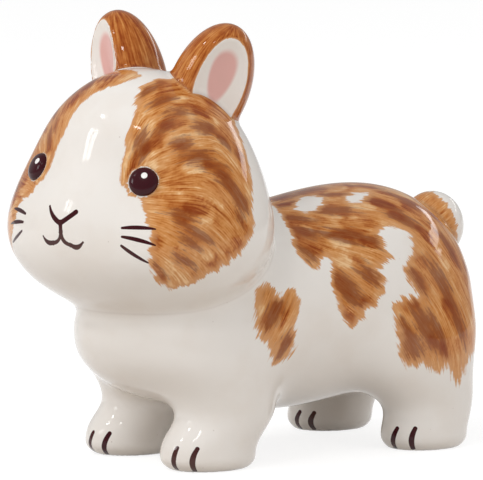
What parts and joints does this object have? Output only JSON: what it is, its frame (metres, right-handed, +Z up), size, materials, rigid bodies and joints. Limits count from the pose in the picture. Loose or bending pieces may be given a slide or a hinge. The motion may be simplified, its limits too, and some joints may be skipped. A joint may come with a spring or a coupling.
{
  "type": "ceramic rabbit figurine",
  "caption": "Glazed ceramic rabbit figurine standing on four paws, with upright scooped ears, a plump trunk, a round head turned slightly to its left and a bob tail.",
  "frame": {"origin": "middle of the outer box in plan, at the surface that the four paws stand on", "axes": "+Z up, the rabbit looks along -Y, its left side is +X"},
  "size_m": [0.0876, 0.1598, 0.1385],
  "materials": {
    "glazed_body": "warm white body under a clear glossy glaze, with painted tan and red-brown coat patches",
    "dark_glaze": "dark aubergine glossy glaze"
  },
  "bodies": {
    "root": {"trunk": "glazed_body", "head": "glazed_body", "left_ear": "glazed_body", "right_ear": "glazed_body", "left_foreleg": "glazed_body", "right_foreleg": "glazed_body", "left_hindleg": "glazed_body", "right_hindleg": "glazed_body", "tail": "glazed_body", "left_eye": "dark_glaze", "right_eye": "dark_glaze"}
  },
  "joints": []
}
